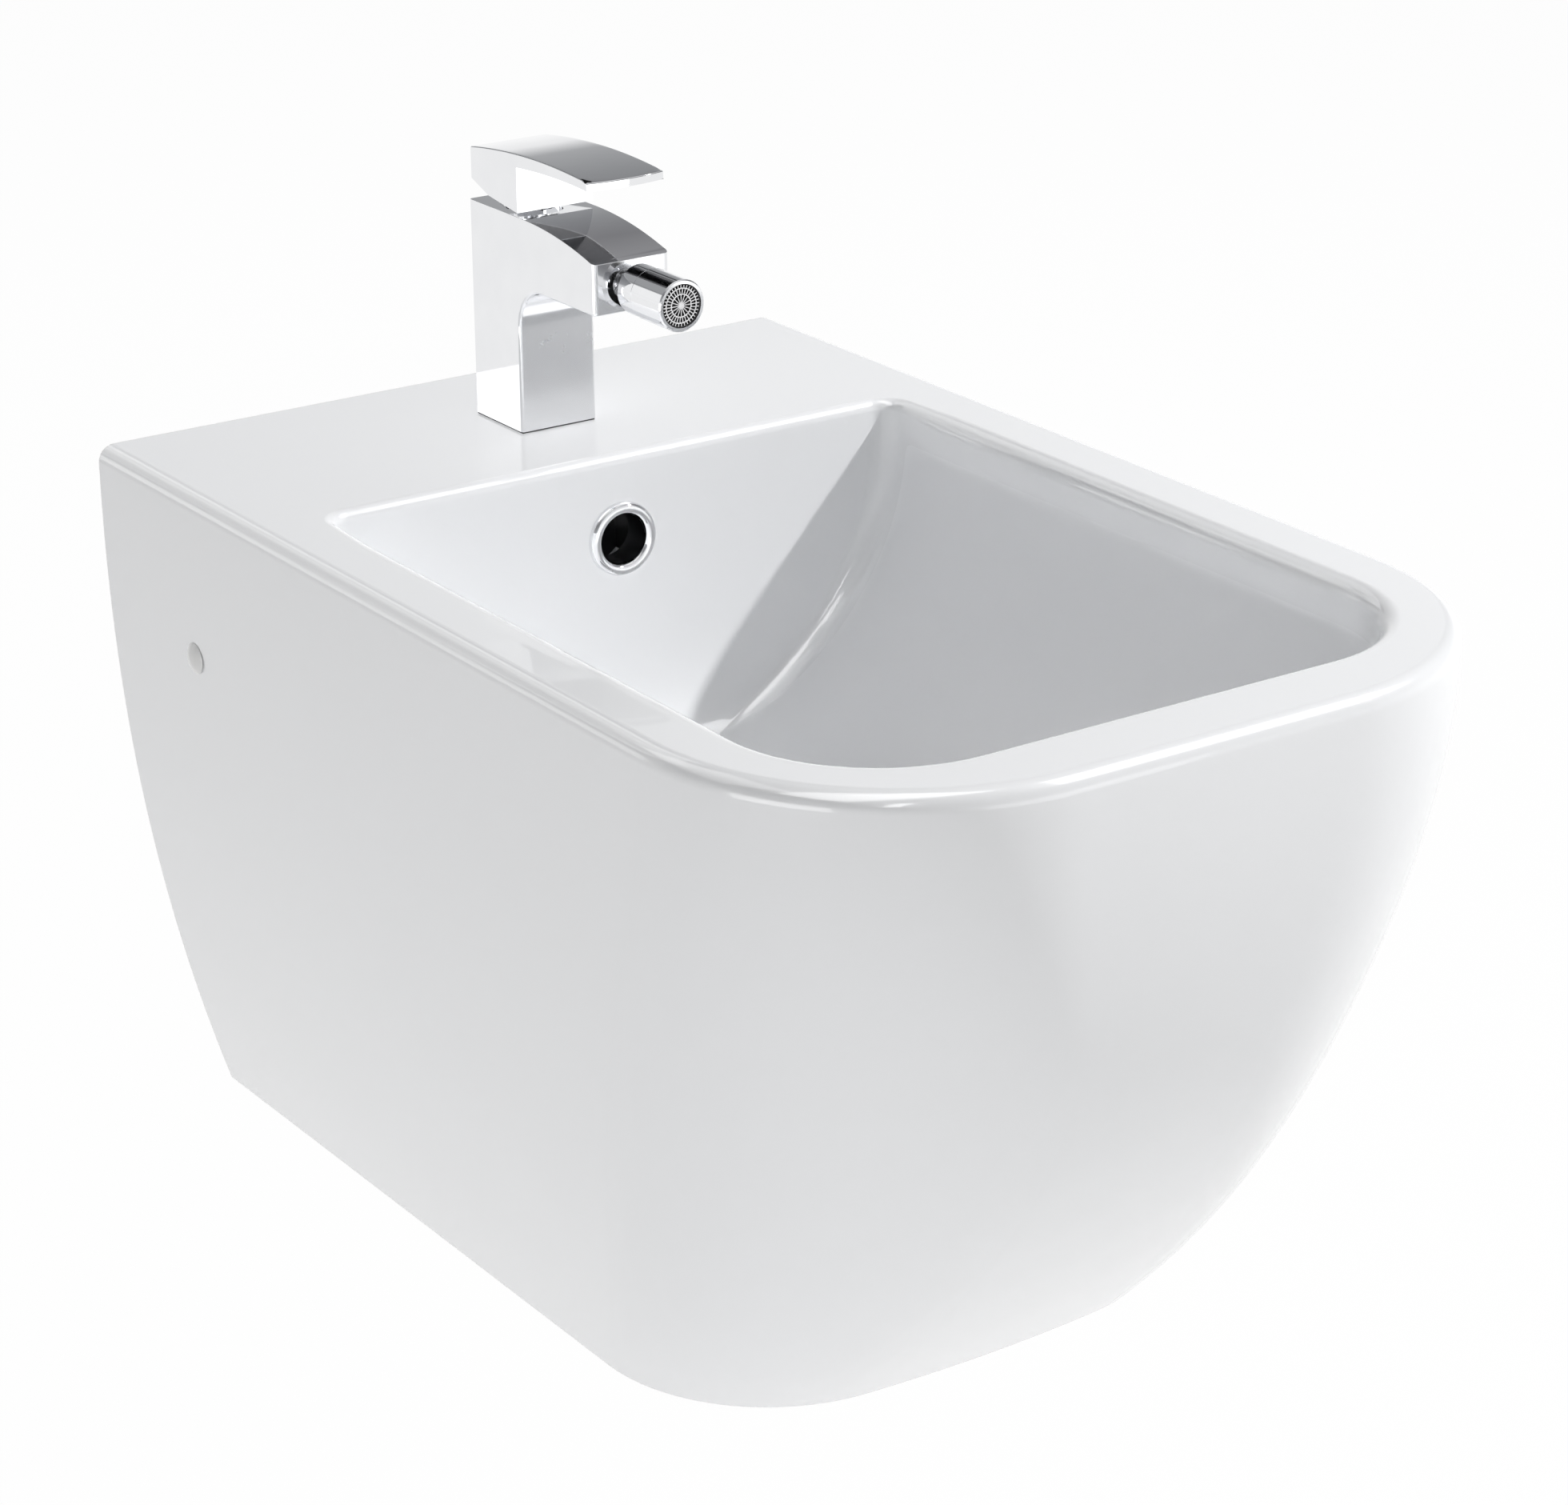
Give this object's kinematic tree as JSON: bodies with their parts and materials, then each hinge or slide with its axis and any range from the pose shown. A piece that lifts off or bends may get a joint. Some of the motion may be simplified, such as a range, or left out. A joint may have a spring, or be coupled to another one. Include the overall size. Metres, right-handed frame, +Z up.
{
  "type": "wall-hung bidet",
  "caption": "Wall-hung glazed bidet with a tapering skirt, a deck-mounted lever mixer with a ball-jointed nozzle, an overflow ring and a push-open waste.",
  "frame": {"origin": "on the wall plane, midway between the two wall studs' axes", "axes": "+X to the right of a user who faces the wall, +Y into the wall, +Z up"},
  "size_m": [0.3622, 0.553, 0.447],
  "materials": {
    "glazed_white": "gloss white glaze",
    "chrome_plate": "polished chrome plate on brass",
    "cap_plastic": "gloss white plastic",
    "fixing_steel": "zinc-plated steel",
    "spring_steel": "stainless spring wire",
    "seal_rubber": "matt black rubber",
    "sleeve_plastic": "white moulded plastic",
    "cartridge_plastic": "grey moulded plastic",
    "disc_ceramic": "lapped alumina",
    "brass_metal": "machined brass",
    "screen_plastic": "dark moulded plastic",
    "indicator_plastic": "chromed plastic"
  },
  "bodies": {
    "bowl": {"ceramic_body": "glazed_white", "fixing_sleeve_left": "sleeve_plastic", "fixing_sleeve_right": "sleeve_plastic", "fixing_barrel_left": "fixing_steel", "fixing_barrel_right": "fixing_steel", "side_screws": "fixing_steel", "side_cap_left": "cap_plastic", "side_cap_right": "cap_plastic", "overflow_ring": "chrome_plate", "waste_body": "chrome_plate", "waste_flange_seal": "seal_rubber", "waste_gasket": "seal_rubber", "waste_lock_nut": "fixing_steel", "click_body": "brass_metal", "click_spring": "spring_steel", "tap_body": "chrome_plate", "tap_base_seal": "seal_rubber", "tap_stud": "brass_metal", "tap_stud_nut": "brass_metal", "clamp_rubber": "seal_rubber", "clamp_plate": "fixing_steel", "cartridge_distributor": "cartridge_plastic", "fixed_disc": "disc_ceramic", "cartridge_housing": "cartridge_plastic", "cartridge_nut": "brass_metal", "lever_shroud": "chrome_plate", "ball_stud": "chrome_plate"},
    "guide": {"stem_guide": "cartridge_plastic", "pivot_pin": "fixing_steel"},
    "lever": {"lever_handle": "chrome_plate", "lever_stem": "fixing_steel", "lever_grub_screw": "fixing_steel", "indicator_plug": "indicator_plastic"},
    "disc": {"moving_disc": "disc_ceramic", "disc_carrier": "cartridge_plastic"},
    "nozzle_seat": {"ball_seat": "sleeve_plastic"},
    "nozzle": {"nozzle_collar": "chrome_plate", "nozzle_sleeve": "chrome_plate", "nozzle_seal": "seal_rubber", "aerator": "screen_plastic"},
    "plug": {"plug_cap": "chrome_plate", "plug_seal": "seal_rubber", "click_stem": "fixing_steel"}
  },
  "joints": [
    {"name": "lever_turn", "type": "hinge", "parent": "bowl", "child": "guide", "pos_m": [0, -0.074, 0.1665], "axis": [0, 0, 1], "range_deg": [-50, 50]},
    {"name": "lever_lift", "type": "hinge", "parent": "guide", "child": "lever", "pos_m": [0, -0.074, 0.1665], "axis": [-1, 0, 0], "range_deg": [0, 22]},
    {"name": "disc_slide", "type": "slide", "parent": "guide", "child": "disc", "axis": [0, -1, 0], "range_m": [0, 0.0048]},
    {"name": "nozzle_pan", "type": "hinge", "parent": "bowl", "child": "nozzle_seat", "pos_m": [0, -0.165, 0.1535], "axis": [0, 0, 1], "range_deg": [-12, 12]},
    {"name": "nozzle_tilt", "type": "hinge", "parent": "nozzle_seat", "child": "nozzle", "pos_m": [0, -0.165, 0.1535], "axis": [1, 0, 0], "range_deg": [-15, 15]},
    {"name": "plug_travel", "type": "slide", "parent": "bowl", "child": "plug", "axis": [0, 0, 1], "range_m": [0, 0.008], "deforming": ["click_spring"]}
  ],
  "couplings": [
    {"joint": "disc_slide", "follows": "lever_lift", "m_per_rad": 0.0125}
  ]
}
